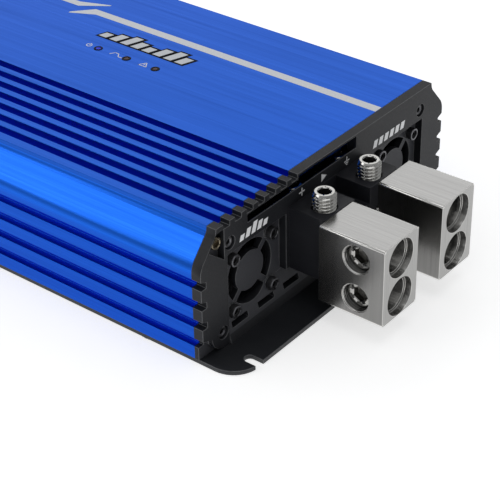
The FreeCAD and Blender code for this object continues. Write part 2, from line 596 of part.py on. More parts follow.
rear_face = "-body_len / 2"
KNOBS = (("gain_knob", 6.0), ("low_pass_knob", 20.0), ("high_pass_knob", 34.0), ("bass_boost_knob", 48.0))
JACKS = [(y, z) for y in (-52.0, -38.0) for z in (14.0, 28.0)]
control_tools = cap_bores("control_bore", -1) + corner_relief("control", -1)
for label, y in KNOBS:
    control_tools.append(rod(label + "_hole", "4.3", "10", (rear_face + " - 1", y, "33"), "X"))
for y, z in JACKS:
    control_tools.append(rod("jack_hole_%d_%d" % (y, z), "5.2", "10", (rear_face + " - 1", y, z), "X"))
control_tools.append(box("port_hole", (rear_face + " - 1", "-31.5", "13"), ("10", "11", "9")))
control_tools.append(box("speaker_hole", (rear_face + " - 1", "1", "9"), ("10", "52", "16")))
for i in range(7):
    control_tools.append(box("control_vent_%d" % i, (rear_face + " - 1", -57 + 17 * i, "42"),
                             ("10", "11", "2.4")))
part("control_end_cap", cut("control_cap_cut", cap_body("control_cap_blank", rear_face), control_tools))

for label, y in KNOBS:
    cap = rod(label + "_cap", "4.0", "9", (rear_face + " - 3", y, "33"), "X")
    mark = box(label + "_slot", (rear_face + " - 3.5", y - 0.45, "33"), ("1.3", "0.9", "5"))
    part(label, cut(label + "_cut", cap, [mark]))
pots = []
for label, y in KNOBS:
    pots.append(box(label + "_pot", (rear_face + " + 6.3", y - 5, "27.5"), ("8", "10", "11")))
part("potentiometers", group("potentiometer_set", pots))

shells, cores = [], []
for y, z in JACKS:
    name = "jack_%d_%d" % (y, z)
    barrel = rod(name + "_barrel", "4.15", "16", (rear_face + " - 8", y, z), "X")
    flange = rod(name + "_flange", "5.0", "4", (rear_face, y, z), "X")
    bore = rod(name + "_bore", "3.5", "17", (rear_face + " - 8.5", y, z), "X")
    shells.append(cut(name + "_shell", fuse(name + "_sleeve", [barrel, flange]), [bore]))
    insulator = rod(name + "_insulator", "3.45", "14", (rear_face + " - 6", y, z), "X")
    contact = rod(name + "_centre", "1.6", "11", (rear_face + " - 7", y, z), "X")
    cores.append(cut(name + "_core", insulator, [contact]))
part("rca_jack_shells", group("rca_shell_set", shells))
part("rca_insulators", group("rca_insulator_set", cores))
port_block = box("port_block", (rear_face + " - 0.5", "-31.3", "13.2"), ("13", "10.6", "8.6"))
port_mouth = box("port_mouth", (rear_face + " - 1", "-29", "15"), ("10", "6", "5"))
part("remote_level_port", cut("port", port_block, [port_mouth]))
preamp = box("preamp_blank", (rear_face + " + 14.3", "-60", "pcb_z + pcb_t"), ("1.6", "116", "34"))
part("preamp_board", preamp)

speaker_tools = []
SPEAKERS = (("speaker_positive", 14.0), ("speaker_negative", 40.0))
for name, y in SPEAKERS:
    speaker_tools.append(box(name + "_cavity", (rear_face + " - 12.5", y - 7.2, "10.3"),
                             ("20", "14.4", "13.4")))
    speaker_tools.append(rod(name + "_entry", "4.6", "4", (rear_face + " - 15", y, "16"), "X"))
    speaker_tools.append(rod(name + "_key_hole", "4.3", "4", (rear_face + " - 6", y, "22"), "Z"))
speaker_house = box("speaker_house", (rear_face + " - 14", "1.2", "9.2"), ("20", "51.6", "15.6"))
part("speaker_terminal_housing", cut("speaker_house_cut", speaker_house, speaker_tools))
for name, y in SPEAKERS:
    bar = box(name + "_blank", (rear_face + " - 12.3", y - 7, "10.5"), ("22", "14", "13"))
    foot = box(name + "_foot", (rear_face + " + 7.7", y - 3, "pcb_z + pcb_t"), ("2", "6", "3"))
    part(name + "_bar", cut(name + "_bar_cut", fuse(name + "_bar_solid", [bar, foot]),
                            [rod(name + "_bore", "4.0", "17", (rear_face + " - 13", y, "16"), "X"),
                             rod(name + "_thread", "3.95", "8", (rear_face + " - 6", y, "16"))]))
    screw = rod(name + "_screw_blank", "3.9", "6.5", (rear_face + " - 6", y, "20.3"))
    part(name + "_screw", cut(name + "_screw_cut", screw,
                              [hexagon(name + "_screw_hex", "4", "4", (rear_face + " - 6", y, "23.8"))]))

# ---------------------------------------------------------------- circuit board and what stands on it

deck = "pcb_z + pcb_t"
board = box("main_board_blank", ("pcb_x - pcb_len / 2", "-pcb_half_w", "pcb_z"),
            ("pcb_len", "2 * pcb_half_w", "pcb_t"))
board_tools = [rod("board_hole_%d_%d" % p, "1.6", "4", (p[0], p[1], "pcb_z - 1")) for p in STANDOFFS]
part("main_board", cut("main_board_cut", board, board_tools))
part("board_standoffs", group("standoff_set", [
    cut("standoff_%d_%d" % p, rod("standoff_body_%d_%d" % p, "2.8", "pcb_z - plate_t", p + ("plate_t",)),
        [rod("standoff_bore_%d_%d" % p, "1.3", "8", p + ("plate_t - 1",))]) for p in STANDOFFS]))
part("board_screws", group("board_screw_set", [
    fuse("board_screw_%d_%d" % p, [rod("board_head_%d_%d" % p, "2.7", "1.8", p + (deck,)),
                                   rod("board_shank_%d_%d" % p, "1.25", "4.6", p + (deck + " - 4.5",))])
    for p in STANDOFFS]))


def can(name, radius, height, x, y):
    return rod(name, radius, height, (x, y, deck))


part("input_capacitors", group("input_capacitor_set", [
    can("input_can_%d" % i, "9", "32", 120 - 20.5 * (i // 4), -48 + 20.5 * (i % 4)) for i in range(12)]))
part("rail_capacitors", group("rail_capacitor_set", [
    can("rail_can_%d" % i, "9", "34", -30 - 20.5 * (i // 4), -31 + 20.5 * (i % 4)) for i in range(8)]))


def ring(name, radius, bore, height, x, y):
    blank = rod(name + "_outer", radius, height, (x, y, deck))
    return cut(name, blank, [rod(name + "_bore", bore, height + 2, (x, y, deck + " - 1"))])


part("power_transformers", group("transformer_set", [
    ring("transformer_%d" % i, 19, 7, 26, 35 - 42 * (i // 2), -22 + 44 * (i % 2)) for i in range(2)]
    + [ring("transformer_%d" % (i + 2), 19, 7, 26, -3, -22 + 44 * i) for i in range(2)]))
part("output_inductors", group("inductor_set", [
    ring("inductor_%d" % i, 15, 6, 20, -95, -36 + 36 * i) for i in range(3)]))
CLAMP_X = [-103 + 42 * i for i in range(6)]
for tag, s in (("near", -1), ("far", 1)):
    devices = []
    for i in range(12):
        x = -121 + 21 * i
        name = "%s_device_%d" % (tag, i)
        body_y = "-(half_w - side_wall)" if s < 0 else "half_w - side_wall - 5"
        lead_y = "-(half_w - side_wall) + 2.2" if s < 0 else "pcb_half_w - 3"
        drop_y = "-pcb_half_w + 2" if s < 0 else "pcb_half_w - 3"
        neck_y = "%d * (half_w - side_wall) + %s" % (s, "2.2" if s < 0 else "-3.2")
        devices.append(fuse(name, [
            box(name + "_case", (x, body_y, "18"), ("16", "5", "20.5")),
            box(name + "_lead", (x + 5, lead_y, "16"), ("6", "half_w - side_wall - pcb_half_w + 0.8", "1")),
            box(name + "_neck", (x + 5, neck_y, "16"), ("6", "1", "3")),
            box(name + "_drop", (x + 5, drop_y, deck), ("6", "1", "17 - pcb_z - pcb_t"))]))
    part("transistors_" + tag, group("transistor_set_" + tag, devices))
    bar_y = "-(half_w - side_wall) + 5" if s < 0 else "half_w - side_wall - 8"
    clamp = box("clamp_bar_%s_blank" % tag, (-123, bar_y, "26"), ("252", "3", "8"))
    holes = [rod("clamp_hole_%s_%d" % (tag, i), "1.7", "6", (x, bar_y + " - 1", "30"), "Y")
             for i, x in enumerate(CLAMP_X)]
    part("clamp_bar_" + tag, cut("clamp_bar_%s_cut" % tag, clamp, holes))

clamp_screws = []
for s in (-1, 1):
    for i, x in enumerate(CLAMP_X):
        name = "clamp_screw_%d_%d" % (s, i)
        inner = "half_w - side_wall"
        shank_y = "-(%s)" % inner if s < 0 else inner + " - 8.5"
        head_y = "-(%s) + 8" % inner if s < 0 else inner + " - 10"
        clamp_screws.append(fuse(name, [rod(name + "_shank", "1.5", "8.5", (x, shank_y, "30"), "Y"),
                                        rod(name + "_head", "2.8", "2", (x, head_y, "30"), "Y")]))
part("clamp_screws", group("clamp_screw_set", clamp_screws))

# ---------------------------------------------------------------- top lights

roof_in = "body_top - roof_t"


def light(name, i, radius, low, length):
    return rod("%s_%d" % (name, i), radius, length, ("led_x + %d * led_pitch" % i, "led_y", low))


bezels = [cut("led_bezel_%d" % i, light("bezel_outer", i, "bezel_r - 0.02", "body_top - 5", "5.15"),
              [light("bezel_bore", i, "led_r + 0.02", "body_top - 6", "8")]) for i in range(3)]
part("led_bezels", group("led_bezel_set", bezels))
part("power_light", light("led_lens", 0, "led_r", roof_in + " - 1", "roof_t + 1.1"))
part("status_lights", group("status_light_set", [
    light("led_lens", i, "led_r", roof_in + " - 1", "roof_t + 1.1") for i in (1, 2)]))
part("led_board", box("led_board_blank", ("led_x - 8", "led_y - 6", roof_in + " - 2.6"),
                      ("50", "12", "1.6")))

doc.recompute()
os.makedirs("parts", exist_ok=True)
for obj in doc.Objects:
    if "Invalid" in obj.State or "Error" in obj.State:
        raise RuntimeError("%s failed to build" % obj.Label)
for obj in parts:
    if obj.Shape.isNull() or not obj.Shape.isValid() or not obj.Shape.Solids:
        raise RuntimeError("%s has no valid solid" % obj.Label)
    obj.Shape.exportStep("parts/%s.step" % obj.Label)
print(len(parts), "parts written")
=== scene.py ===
import json
import math

import bpy
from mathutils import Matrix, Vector


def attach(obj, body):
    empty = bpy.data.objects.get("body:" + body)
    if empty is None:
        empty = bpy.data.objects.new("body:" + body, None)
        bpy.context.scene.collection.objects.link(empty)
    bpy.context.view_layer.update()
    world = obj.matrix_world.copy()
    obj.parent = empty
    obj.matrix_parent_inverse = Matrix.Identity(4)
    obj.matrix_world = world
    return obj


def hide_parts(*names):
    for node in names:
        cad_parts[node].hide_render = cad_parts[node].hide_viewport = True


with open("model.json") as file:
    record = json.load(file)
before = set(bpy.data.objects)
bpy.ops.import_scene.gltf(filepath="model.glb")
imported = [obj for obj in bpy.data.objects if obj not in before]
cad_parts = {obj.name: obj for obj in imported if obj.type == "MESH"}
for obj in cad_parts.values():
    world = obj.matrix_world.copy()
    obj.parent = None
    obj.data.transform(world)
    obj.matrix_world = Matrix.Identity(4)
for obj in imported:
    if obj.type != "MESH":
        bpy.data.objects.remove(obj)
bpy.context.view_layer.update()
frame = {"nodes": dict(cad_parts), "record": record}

MM = 0.001
NODES = frame["nodes"]

# ------------------------------------------------------------------ sizes shared with the frame, mm

CAP_FACE, REAR_FACE, ROOF, CASE_END = 170.5, -170.5, 58.0, 165.75
FAN_Y, FAN_Z, FAN_PITCH = 49.3, 25.8, 24.0
TERMINAL_Y = {"positive": -19.3, "ground": 11.3}
FRONT_SCREW_X, REAR_SCREW_X = 181.0, 165.6
SPEAKER_SCREW_X = REAR_FACE - 6.0
SPEAKER_SCREW_Y = {"speaker_positive": 14.0, "speaker_negative": 40.0}
CAP_SCREWS = ((64.9, 48.1), (70.3, 9.3))
INSERT_Y, INSERT_Z = -71.25, 50.4
BLOCK_Y = {"positive": -20.4, "ground": 19.8}
BLOCK_HALF, BLOCK_HALF_H, BLOCK_MIDDLE_Z, BLOCK_FILLET = 11.625, 17.6, 27.8, 0.98
CABLE_X = 205.4
CABLE_Z = {"lower": 18.9, "upper": 36.7}
CABLE_SCREW_RECESS = 3.2
TAP_RADIUS, TAP_PITCH = 6.0, 1.0
LIGHT_X, LIGHT_PITCH, LIGHT_Y = 32.0, 17.05, 11.8
KNOB_Y = {"gain_knob": 6.0, "low_pass_knob": 20.0, "high_pass_knob": 34.0, "bass_boost_knob": 48.0}
KNOB_Z = 33.0

# Where the case's painted light changes: distance from its middle plane, then height
GROOVE_REACH, FLANK_START, SLOT_FLOOR = 72.8, 73.1, 82.45
RIB_FADE, SLOT_TOP, FLANK_TOP, GROOVE_TOP = (39.5, 42.5), 40.5, 56.5, 57.85

# ------------------------------------------------------------------ camera and light


def add_camera():
    """Camera at the photograph's viewing angle, fitted to it by least squares."""
    data = bpy.data.cameras.new("camera")
    data.lens = 113.155
    data.sensor_width = 36.0
    data.clip_start, data.clip_end = 0.01, 20.0
    camera = bpy.data.objects.new("camera", data)
    camera.location = (0.488012, -0.444167, 0.372416)
    camera.rotation_euler = [math.radians(a) for a in (56.46387, 0.95230, 38.45046)]
    bpy.context.scene.collection.objects.link(camera)
    bpy.context.scene.camera = camera


def add_area(name, place, target, size, power):
    """Rectangular white lamp at a place, turned to face a target; metres and watts."""
    data = bpy.data.lights.new(name, "AREA")
    data.shape = "RECTANGLE"
    data.size, data.size_y = size
    data.energy = power
    lamp = bpy.data.objects.new(name, data)
    lamp.location = place
    lamp.rotation_euler = (Vector(target) - Vector(place)).to_track_quat("-Z", "Y").to_euler()
    bpy.context.scene.collection.objects.link(lamp)


def add_world(strength):
    """Plain, slightly cool surroundings."""
    world = bpy.data.worlds.new("studio")
    world.use_nodes = True
    background = world.node_tree.nodes["Background"]
    background.inputs["Color"].default_value = (0.97, 0.985, 1.0, 1.0)
    background.inputs["Strength"].default_value = strength
    bpy.context.scene.world = world


add_camera()
add_world(0.42)
add_area("back_softbox", (-0.80, 1.05, 0.92), (0.05, 0.0, 0.03), (1.5, 0.9), 4.0)
add_area("left_softbox", (-0.95, -0.95, 0.88), (-0.1, -0.08, 0.04), (1.9, 0.45), 5.6)
add_area("overhead", (0.35, -0.1, 1.5), (0.05, 0.0, 0.0), (0.9, 0.9), 2.4)
bpy.context.scene.view_settings.view_transform = "Standard"

# ------------------------------------------------------------------ material building blocks

MIX_A, MIX_B, MIX_RESULT = 6, 7, 2  # a Mix node's colour sockets


class Finish:
    """One procedural material: a Principled shader and the texture nodes that feed it."""

    def __init__(self, name, **sockets):
        self.mat = bpy.data.materials.new(name)
        self.mat.use_nodes = True
        self.tree = self.mat.node_tree
        self.shader = self.tree.nodes["Principled BSDF"]
        for key, value in sockets.items():
            label = key.replace("_", " ").title().replace("Ior", "IOR")
            self.shader.inputs[label].default_value = value
        source = self.tree.nodes.new("ShaderNodeTexCoord")
        self.coords, self.normal = source.outputs["Object"], source.outputs["Normal"]

    def node(self, kind, inputs=(), **props):
        """New node; an input is linked if it is a socket, and set if it is a value."""
        made = self.tree.nodes.new(kind)
        for key, value in props.items():
            setattr(made, key, value)
        for key, value in dict(inputs).items():
            if isinstance(value, bpy.types.NodeSocket):
                self.tree.links.new(value, made.inputs[key])
            else:
                made.inputs[key].default_value = value
        return made

    def noise(self, scale, detail=3.0, shift=0.0):
        """Fractal noise with scale cells per metre on each axis; shift moves it along."""
        mapping = self.node("ShaderNodeMapping", {"Vector": self.coords, "Scale": scale,
                                                  "Location": (shift, shift * 1.7, -shift)})
        texture = self.node("ShaderNodeTexNoise", {"Vector": mapping.outputs["Vector"],
                                                   "Scale": 1.0, "Detail": detail,
                                                   "Roughness": 0.55})
        return texture.outputs["Fac"]

    def ramp(self, value, low, high, out_low, out_high):
        """Straight line from (low, out_low) to (high, out_high), level beyond both."""
        made = self.node("ShaderNodeMapRange", {"Value": value, "From Min": low, "From Max": high,
                                                "To Min": out_low, "To Max": out_high})
        return made.outputs["Result"]

    def maths(self, operation, a, b=0.0):
        return self.node("ShaderNodeMath", {0: a, 1: b}, operation=operation).outputs["Value"]

    def above(self, value, limit):
        return self.maths("GREATER_THAN", value, limit)

    def below(self, value, limit):
        return self.maths("LESS_THAN", value, limit)

    def both(self, first, second):
        """1 where both masks are 1."""
        return self.maths("MULTIPLY", first, second)

    def away(self, value, centre=0.0):
        """Distance of a value from a centre."""
        return self.maths("ABSOLUTE", self.maths("SUBTRACT", value, centre))

    def blend(self, a, b, share):
        """a where share is 1 and b where it is 0."""
        rest = self.maths("SUBTRACT", 1.0, share)
        return self.maths("ADD", self.maths("MULTIPLY", a, share), self.maths("MULTIPLY", b, rest))

    def mix(self, factor, a, b):
        """Colour a where factor is 0 and colour b where it is 1."""
        made = self.node("ShaderNodeMix", data_type="RGBA")
        self.feed(made.inputs["Factor"], factor)
        self.feed(made.inputs[MIX_A], a)
        self.feed(made.inputs[MIX_B], b)
        return made.outputs[MIX_RESULT]

    def feed(self, socket, value):
        """Links a socket, or sets it to a number or an RGB colour."""
        if isinstance(value, bpy.types.NodeSocket):
            self.tree.links.new(value, socket)
        else:
            socket.default_value = value if isinstance(value, (int, float)) else (*value, 1.0)

    def axis(self, index, vector=None):
        """One component of a vector, by default of the place on the object."""
        vector = vector or self.coords
        return self.node("ShaderNodeSeparateXYZ", {"Vector": vector}).outputs[index]

    def colour(self, value):
        self.feed(self.shader.inputs["Base Color"], value)

    def rough(self, value):
        self.feed(self.shader.inputs["Roughness"], value)

    def bump(self, height, depth_mm):
        made = self.node("ShaderNodeBump", {"Height": height, "Distance": depth_mm * MM})
        self.tree.links.new(made.outputs["Normal"], self.shader.inputs["Normal"])


def brushed(name, colour, darker, grain, rough=(0.2, 0.34), depth=0.012):
    """Metal with a fine linear grain; grain gives the cells per metre on each axis."""
    made = Finish(name, metallic=1.0)
    fine = made.noise(grain, detail=2.0)
    broad = made.noise([g * 0.11 for g in grain], detail=4.0, shift=3.1)
    blotch = made.noise((45, 45, 45), shift=8.0)
    streaks = made.blend(fine, broad, 0.55)
    made.colour(made.mix(made.ramp(streaks, 0.32, 0.68, 0.0, 1.0), darker, colour))
    made.rough(made.maths("ADD", made.ramp(streaks, 0.3, 0.7, rough[1], rough[0]),
                          made.ramp(blotch, 0.3, 0.7, -0.03, 0.03)))
    made.bump(streaks, depth)
    return made.mat


def coat(made, colour, lighter, rough, speckle=1500, depth=0.02):
    """Gives a finish a fine pebble; returns its colour, with faint rub marks."""
    pebble = made.noise((speckle,) * 3, detail=2.0)
    cloud = made.noise((60, 60, 60), detail=4.0, shift=2.0)
    rub = made.noise((25, 700, 900), shift=5.0)
    amount = made.maths("ADD", made.ramp(cloud, 0.3, 0.75, 0.0, 0.7),
                        made.ramp(rub, 0.55, 0.8, 0.0, 0.5))
    made.rough(made.maths("ADD", made.ramp(pebble, 0.3, 0.7, rough[0], rough[1]),
                          made.ramp(cloud, 0.3, 0.7, -0.04, 0.04)))
    made.bump(pebble, depth)
    return made.mix(amount, colour, lighter)


def coated(name, colour, lighter, rough, speckle=1500, depth=0.02, **sockets):
    """Powder coat, or a moulded or painted black surface."""
    made = Finish(name, **sockets)
    made.colour(coat(made, colour, lighter, rough, speckle, depth))
    return made.mat


def plain(name, colour, second, rough, scale, depth=0.01, **sockets):
    """Even surface that varies a little between two colours; scale is in cells per metre."""
    made = Finish(name, **sockets)
    field = made.noise((scale,) * 3)
    made.colour(made.mix(made.ramp(field, 0.3, 0.7, 0.0, 1.0), colour, second))
    made.rough(made.ramp(field, 0.3, 0.7, rough * 0.85, rough * 1.15))
    made.bump(field, depth)
    return made.mat


def blue_anodised():
    """Dyed anodising brushed along the case, with painted light in its blue on each part of the
    section.
    """
    made = Finish("blue_anodised", metallic=1.0, specular_tint=(0.72, 0.78, 1.0, 1.0))
    fine = made.noise((14, 2600, 2600), detail=2.0)
    long_streak = made.noise((3, 420, 420), detail=5.0, shift=4.0)
    cloud = made.noise((9, 22, 22), shift=1.5)
    streaks = made.blend(fine, long_streak, 0.5)
    grain = made.ramp(streaks, 0.3, 0.7, 0.0, 1.0)
    side, height = made.away(made.axis(1)), made.axis(2)

    roof = made.mix(grain, (0.010, 0.076, 0.41), (0.017, 0.102, 0.52))
    roof = made.mix(made.ramp(cloud, 0.35, 0.7, 0.0, 0.25), roof, (0.020, 0.115, 0.62))
    # Painted light: the shoulder's blue is brighter as a painted highlight and the ribs' blue
    # darker as painted shade, blended by height.
    shoulder_painted_highlight = made.mix(grain, (0.010, 0.108, 0.62), (0.018, 0.142, 0.75))
    rib_painted_shade = made.mix(grain, (0.006, 0.070, 0.47), (0.011, 0.105, 0.62))
    to_shoulder = made.ramp(height, RIB_FADE[0] * MM, RIB_FADE[1] * MM, 0.0, 1.0)
    flank = made.mix(to_shoulder, rib_painted_shade, shoulder_painted_highlight)
    on_flank = made.both(made.above(side, FLANK_START * MM), made.below(height, FLANK_TOP * MM))
    in_groove = made.both(made.below(side, GROOVE_REACH * MM), made.below(height, GROOVE_TOP * MM))
    in_slot = made.both(made.below(side, SLOT_FLOOR * MM), made.below(height, SLOT_TOP * MM))
    surface = made.mix(on_flank, roof, flank)
    # Painted light: the grooves and slots get a flat blue that stands in for how light falls inside
    # them.
    surface = made.mix(in_groove, surface, (0.014, 0.11, 0.58))
    made.colour(made.mix(in_slot, surface, (0.014, 0.09, 0.52)))

    made.rough(made.ramp(streaks, 0.3, 0.7, 0.38, 0.26))
    made.bump(streaks, 0.01)
    return made.mat


def black_casting():
    """Satin black cast caps, with painted light on their sunken faces, which are made a little
    paler.
    """
    made = Finish("black_casting", specular_ior_level=0.22)
    surface = coat(made, (0.011, 0.0115, 0.014), (0.022, 0.023, 0.027), (0.42, 0.54))
    # Painted light: sunken faces that face along the case get a paler black.
    sunken_painted_light = made.both(made.below(made.away(made.axis(0)), (CAP_FACE - 0.3) * MM),
                       made.above(made.away(made.axis(0, made.normal)), 0.5))
    made.colour(made.mix(sunken_painted_light, surface, (0.045, 0.046, 0.053)))
    return made.mat


def nickel_block():
    """Brushed plating with painted light: darker on the sides that face across (painted shade),
    bright along its long corners (painted highlight).

    The threads around the cable screws are drawn on the wall of their holes as bumps, with their
    roots darkened as painted shade.
    """
    made = Finish("nickel_block", metallic=1.0)
    upright = made.noise((1800, 1800, 22))
    flat = made.noise((26, 1500, 1500), shift=3.1)
    facing_up = made.above(made.away(made.axis(2, made.normal)), 0.6)
    streaks = made.blend(flat, upright, facing_up)
    grain = made.ramp(streaks, 0.32, 0.68, 0.0, 1.0)
    across = made.away(made.axis(1, made.normal))
    bright = made.mix(grain, (0.345, 0.342, 0.335), (0.385, 0.382, 0.373))
    # Painted shade: the sides that face across get a darker nickel.
    side_painted_shade = made.mix(grain, (0.24, 0.238, 0.233), (0.28, 0.277, 0.27))
    surface = made.mix(made.above(across, 0.8), bright, side_painted_shade)

    # Painted highlight: the blocks' long rounded corners are painted a pale nickel.
    from_centre = made.maths("MINIMUM", *(made.away(made.axis(1), y * MM)
                                          for y in BLOCK_Y.values()))
    from_middle = made.away(made.axis(2), BLOCK_MIDDLE_Z * MM)
    corner_painted_highlight = made.both(made.above(from_centre, (BLOCK_HALF - BLOCK_FILLET) * MM),
                       made.above(from_middle, (BLOCK_HALF_H - BLOCK_FILLET) * MM))
    surface = made.mix(corner_painted_highlight, surface, (0.66, 0.65, 0.63))

    def squared(index, place):
        return made.maths("POWER", made.maths("SUBTRACT", made.axis(index), place * MM), 2.0)

    along = squared(0, CABLE_X)
    from_screw = made.maths("MINIMUM", *(
        made.maths("SQRT", made.maths("ADD", along, squared(2, z))) for z in CABLE_Z.values()))
    wall_band = 0.1
    tapped = made.both(made.below(made.away(from_screw, TAP_RADIUS * MM), wall_band * MM),
                       made.below(across, 0.5))
    turns = made.maths("MULTIPLY", made.axis(1), 2 * math.pi / (TAP_PITCH * MM))
    wave = made.maths("SINE", turns)
    # Painted shade: the thread roots on the hole walls are darkened.
    thread_root_painted_shade = made.both(tapped, made.ramp(wave, -0.4, 0.6, 0.0, 1.0))
    made.colour(made.mix(thread_root_painted_shade, surface, (0.035, 0.034, 0.033)))

    made.rough(made.ramp(streaks, 0.3, 0.7, 0.27, 0.22))
    thread = made.maths("MULTIPLY", tapped, made.maths("MULTIPLY", wave, 0.5))
    made.bump(made.maths("ADD", made.maths("MULTIPLY", streaks, 0.002), thread), 0.2)
    return made.mat


# ------------------------------------------------------------------ materials

MATERIALS = {
    "blue_anodised": blue_anodised(),
    "black_sheet": coated("black_sheet", (0.014, 0.015, 0.018), (0.026, 0.028, 0.032),
                          (0.36, 0.46), specular_ior_level=0.4),
    "black_casting": black_casting(),
    "black_plastic": coated("black_plastic", (0.009, 0.0095, 0.013), (0.016, 0.0165, 0.021),
                            (0.42, 0.55), 2200, 0.014, specular_ior_level=0.35),
    "nickel_block": nickel_block(),
    "nickel_bar": brushed("nickel_bar", (0.66, 0.63, 0.56), (0.5, 0.48, 0.43), (40, 1600, 1600)),
    "bright_screw": brushed("bright_screw", (0.50, 0.495, 0.475), (0.38, 0.375, 0.36),
                            (300, 300, 300), (0.12, 0.18), 0.001),
    "black_screw": coated("black_screw", (0.03, 0.03, 0.033), (0.09, 0.09, 0.095), (0.25, 0.4),
                          metallic=0.6),
    "zinc_screw": brushed("zinc_screw", (0.6, 0.6, 0.57), (0.45, 0.45, 0.43), (700, 700, 700)),
    "fan_plastic": coated("fan_plastic", (0.008, 0.008, 0.010), (0.016, 0.016, 0.019), (0.4, 0.5),
                          specular_ior_level=0.35),
    "led_blue": plain("led_blue", (0.005, 0.012, 0.42), (0.01, 0.03, 0.6), 0.3, 900, 0.003,
                      specular_ior_level=0.15, emission_color=(0.0, 0.01, 0.7, 1),
                      emission_strength=0.25),
    "led_red": plain("led_red", (0.045, 0.012, 0.010), (0.07, 0.02, 0.016), 0.3, 900, 0.003,
                     specular_ior_level=0.2),
    "bezel": plain("bezel", (0.005, 0.005, 0.007), (0.012, 0.012, 0.015), 0.6, 1500,
                   specular_ior_level=0.12),
    "board": plain("board", (0.008, 0.085, 0.04), (0.014, 0.12, 0.06), 0.35, 700),
    "capacitor": plain("capacitor", (0.02, 0.021, 0.03), (0.05, 0.05, 0.07), 0.3, 300,
                       metallic=0.4),
    "ferrite": plain("ferrite", (0.30, 0.13, 0.04), (0.45, 0.22, 0.08), 0.3, 900, 0.03,
                     metallic=0.5),
    "transistor": plain("transistor", (0.02, 0.02, 0.02), (0.04, 0.04, 0.04), 0.5, 900),
    "clamp": brushed("clamp", (0.55, 0.55, 0.53), (0.42, 0.42, 0.41), (30, 900, 900)),
    "rca_shell": brushed("rca_shell", (0.66, 0.655, 0.635), (0.52, 0.515, 0.50),
                         (60, 1500, 1500), (0.14, 0.24), 0.006),
    "rca_core": plain("rca_core", (0.62, 0.61, 0.58), (0.7, 0.69, 0.66), 0.3, 600),
    "knob": coated("knob", (0.016, 0.016, 0.018), (0.035, 0.035, 0.038), (0.4, 0.55)),
    "port": coated("port", (0.03, 0.03, 0.034), (0.05, 0.05, 0.055), (0.4, 0.5)),
}
PRINT_LIGHT = plain("print_light", (0.68, 0.70, 0.74), (0.76, 0.78, 0.82), 0.5, 1200, 0.004)
PRINT_GREY = plain("print_grey", (0.58, 0.60, 0.64), (0.66, 0.68, 0.72), 0.45, 1200, 0.004)
PRINT_WHITE = plain("print_white", (0.78, 0.79, 0.80), (0.88, 0.88, 0.89), 0.5, 2500, 0.004)
PRINT_BLACK = plain("print_black", (0.004, 0.0045, 0.008), (0.009, 0.0095, 0.014), 0.7, 1200,
                    0.004, specular_ior_level=0.08)
INSERT = brushed("insert_brass", (0.22, 0.19, 0.14), (0.10, 0.085, 0.06), (900, 900, 900),
                 (0.2, 0.3), 0.004)
# Wear and painted highlight: a lighter steel for the screw heads' rims.
RIM_WEAR_AND_HIGHLIGHT = brushed("worn_rim_and_highlight", (0.17, 0.17, 0.18), (0.07, 0.07, 0.08), (2000, 2000, 2000),
              (0.25, 0.42), 0.006)
# Painted shade: a darker black inside the screw heads' hexagon sockets.
SOCKET_SHADE = plain("socket_painted_shade", (0.008, 0.008, 0.009), (0.02, 0.02, 0.022), 0.5, 2500, metallic=0.3)
# Painted shade: a darker steel inside the sockets of the threaded screws.
STEEL_SOCKET_SHADE = brushed("steel_socket_painted_shade", (0.22, 0.216, 0.20), (0.10, 0.096, 0.09),
                        (1200, 1200, 300), (0.25, 0.36), 0.006)
# Painted highlight: a pale nickel on the blocks' bevelled edges.
NICKEL_EDGE_HIGHLIGHT = plain("nickel_edge_highlight", (0.60, 0.59, 0.57), (0.68, 0.67, 0.65), 0.2, 900, 0.0,
                    metallic=1.0)
# Rubbed wear and painted highlight: a lighter black for the bevelled edges of the castings and base
# plate.
CAST_EDGE_WEAR_AND_HIGHLIGHT = plain("casting_edge_wear_and_highlight", (0.055, 0.056, 0.06), (0.10, 0.102, 0.108), 0.32, 900, 0.002)

SLOT_OF = {row["node"]: row["material_slot"] for row in frame["record"]["subparts"]}
for node_name, node_object in NODES.items():
    node_object.data.materials.clear()
    node_object.data.materials.append(MATERIALS[SLOT_OF[node_name]])

# ------------------------------------------------------------------ softened edges of frame parts


def soften(node, width, flatten=True, edge=None, angle=32):
    """Small rounded edges on a frame part, as modifiers; edge is their own lighter material: a
    painted highlight, and on the castings rubbed wear too.
    """
    part = NODES[node]
    weld = part.modifiers.new("weld", "WELD")
    weld.merge_threshold = 2e-6
    if flatten:
        merge = part.modifiers.new("flatten", "DECIMATE")
        merge.decimate_type = "DISSOLVE"
        merge.angle_limit = math.radians(0.6)
    bevel = part.modifiers.new("edge", "BEVEL")
    bevel.width = width * MM
    bevel.segments = 2
    bevel.limit_method = "ANGLE"
    bevel.angle_limit = math.radians(angle)
    bevel.use_clamp_overlap = False
    bevel.miter_outer = "MITER_ARC"
    bevel.harden_normals = True
    if edge:
        part.data.materials.append(edge)
        bevel.material = 1


soften("heatsink_shell", 0.22)
soften("power_terminal_housing", 0.3)
soften("speaker_terminal_housing", 0.35)
soften("remote_level_port", 0.2)
soften("base_plate", 0.25, edge=CAST_EDGE_WEAR_AND_HIGHLIGHT)
soften("terminal_end_cap", 0.18, edge=CAST_EDGE_WEAR_AND_HIGHLIGHT)
soften("control_end_cap", 0.14, flatten=False, edge=CAST_EDGE_WEAR_AND_HIGHLIGHT)
soften("positive_adapter_block", 0.14, flatten=False, edge=NICKEL_EDGE_HIGHLIGHT, angle=50)
soften("ground_adapter_block", 0.14, flatten=False, edge=NICKEL_EDGE_HIGHLIGHT, angle=50)

# ------------------------------------------------------------------ mesh helpers

# From (u, v) across an axis and w along it to X, Y and Z
AXES = {
    "Z": lambda u, v, w: (u, v, w),
    "X": lambda u, v, w: (w, u, v),
    "-X": lambda u, v, w: (-w, -u, v),
    "Y": lambda u, v, w: (v, w, u),
    "-Y": lambda u, v, w: (u, -w, v),
}


